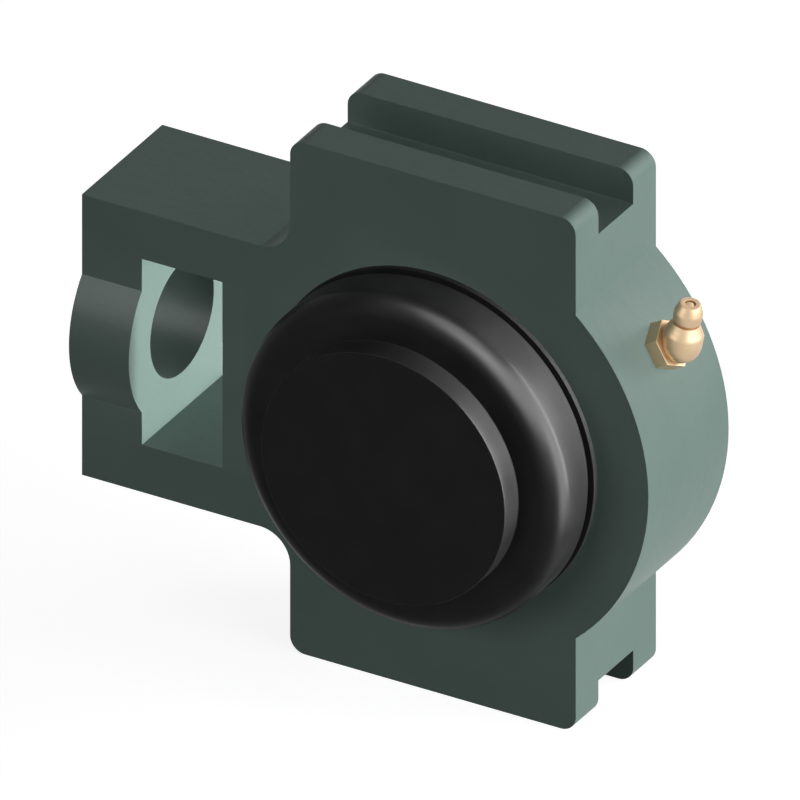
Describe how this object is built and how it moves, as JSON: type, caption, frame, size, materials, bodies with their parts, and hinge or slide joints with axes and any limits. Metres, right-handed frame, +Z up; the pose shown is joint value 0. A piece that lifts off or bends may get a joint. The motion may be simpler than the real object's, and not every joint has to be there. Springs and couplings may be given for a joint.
{
  "type": "take up bearing unit",
  "caption": "Cast housing that slides between guide rails on an adjusting screw, with a self-aligning insert ball bearing, closed end cover and elbow grease nipple.",
  "frame": {"origin": "centre of the bearing, on the shaft axis, in the middle of the housing's thickness", "axes": "+Y along the shaft axis towards the open rear, where the shaft comes in; +X along the guide rails, away from the adjusting screw's eye; +Z up, square to the rails"},
  "size_m": [0.1156, 0.0534, 0.102],
  "materials": {
    "housing_paint": "dark grey green enamel on cast iron",
    "cover_plastic": "black moulded plastic",
    "bearing_steel": "ground bearing steel",
    "ball_steel": "polished steel ball",
    "cage_steel": "pressed steel strip",
    "plate_steel": "zinc plated pressed sheet",
    "pin_steel": "ground dowel",
    "screw_steel": "blackened steel",
    "spring_steel": "drawn spring wire",
    "seal_rubber": "nitrile rubber",
    "nipple_brass": "turned brass"
  },
  "bodies": {
    "housing": {"housing": "housing_paint", "end_cover": "cover_plastic", "nipple_elbow": "nipple_brass", "nipple_head": "nipple_brass", "nipple_spring": "spring_steel"},
    "locking_pin": {"locking_pin": "pin_steel"},
    "outer_ring": {"outer_ring": "bearing_steel", "seal_plate_front": "plate_steel", "seal_plate_rear": "plate_steel", "seal_lip_front": "seal_rubber", "seal_lip_rear": "seal_rubber"},
    "inner_ring": {"inner_ring": "bearing_steel", "flinger_front": "plate_steel", "flinger_rear": "plate_steel", "set_screw_1": "screw_steel", "set_screw_2": "screw_steel"},
    "cage": {"cage_front": "cage_steel", "cage_rear": "cage_steel", "cage_rivets": "cage_steel"},
    "check_ball": {"nipple_check_ball": "nipple_brass"},
    "ball_1": {"ball_1": "ball_steel"},
    "ball_2": {"ball_2": "ball_steel"},
    "ball_3": {"ball_3": "ball_steel"},
    "ball_4": {"ball_4": "ball_steel"},
    "ball_5": {"ball_5": "ball_steel"},
    "ball_6": {"ball_6": "ball_steel"},
    "ball_7": {"ball_7": "ball_steel"},
    "ball_8": {"ball_8": "ball_steel"},
    "ball_9": {"ball_9": "ball_steel"}
  },
  "joints": [
    {"name": "tilt_up_down", "type": "hinge", "parent": "housing", "child": "locking_pin", "pos_m": [0, 0, 0], "axis": [1, 0, 0], "range_deg": [-2, 2]},
    {"name": "tilt_sideways", "type": "hinge", "parent": "locking_pin", "child": "outer_ring", "pos_m": [0, 0, 0], "axis": [0, 0, 1], "range_deg": [-2, 2]},
    {"name": "shaft_spin", "type": "hinge", "parent": "outer_ring", "child": "inner_ring", "pos_m": [0, 0, 0], "axis": [0, 1, 0], "continuous": true},
    {"name": "cage_orbit", "type": "hinge", "parent": "outer_ring", "child": "cage", "pos_m": [0, 0, 0], "axis": [0, 1, 0], "continuous": true},
    {"name": "check_ball_press", "type": "slide", "parent": "housing", "child": "check_ball", "axis": [-0.2079, 0, -0.9781], "range_m": [0, 0.0008], "stiffness_N_per_m": 400, "springref_m": -0.001, "deforming": ["nipple_spring"]},
    {"name": "ball_1_roll", "type": "hinge", "parent": "cage", "child": "ball_1", "pos_m": [0, 0, 0.023], "axis": [0, 1, 0], "continuous": true},
    {"name": "ball_2_roll", "type": "hinge", "parent": "cage", "child": "ball_2", "pos_m": [-0.01478, 0, 0.01762], "axis": [0, 1, 0], "continuous": true},
    {"name": "ball_3_roll", "type": "hinge", "parent": "cage", "child": "ball_3", "pos_m": [-0.02265, 0, 0.00399], "axis": [0, 1, 0], "continuous": true},
    {"name": "ball_4_roll", "type": "hinge", "parent": "cage", "child": "ball_4", "pos_m": [-0.01992, 0, -0.0115], "axis": [0, 1, 0], "continuous": true},
    {"name": "ball_5_roll", "type": "hinge", "parent": "cage", "child": "ball_5", "pos_m": [-0.00787, 0, -0.02161], "axis": [0, 1, 0], "continuous": true},
    {"name": "ball_6_roll", "type": "hinge", "parent": "cage", "child": "ball_6", "pos_m": [0.00787, 0, -0.02161], "axis": [0, 1, 0], "continuous": true},
    {"name": "ball_7_roll", "type": "hinge", "parent": "cage", "child": "ball_7", "pos_m": [0.01992, 0, -0.0115], "axis": [0, 1, 0], "continuous": true},
    {"name": "ball_8_roll", "type": "hinge", "parent": "cage", "child": "ball_8", "pos_m": [0.02265, 0, 0.00399], "axis": [0, 1, 0], "continuous": true},
    {"name": "ball_9_roll", "type": "hinge", "parent": "cage", "child": "ball_9", "pos_m": [0.01478, 0, 0.01762], "axis": [0, 1, 0], "continuous": true}
  ],
  "couplings": [
    {"joint": "cage_orbit", "follows": "shaft_spin", "ratio": 0.39646},
    {"joint": "ball_1_roll", "follows": "shaft_spin", "ratio": -2.3109},
    {"joint": "ball_2_roll", "follows": "shaft_spin", "ratio": -2.3109},
    {"joint": "ball_3_roll", "follows": "shaft_spin", "ratio": -2.3109},
    {"joint": "ball_4_roll", "follows": "shaft_spin", "ratio": -2.3109},
    {"joint": "ball_5_roll", "follows": "shaft_spin", "ratio": -2.3109},
    {"joint": "ball_6_roll", "follows": "shaft_spin", "ratio": -2.3109},
    {"joint": "ball_7_roll", "follows": "shaft_spin", "ratio": -2.3109},
    {"joint": "ball_8_roll", "follows": "shaft_spin", "ratio": -2.3109},
    {"joint": "ball_9_roll", "follows": "shaft_spin", "ratio": -2.3109}
  ]
}
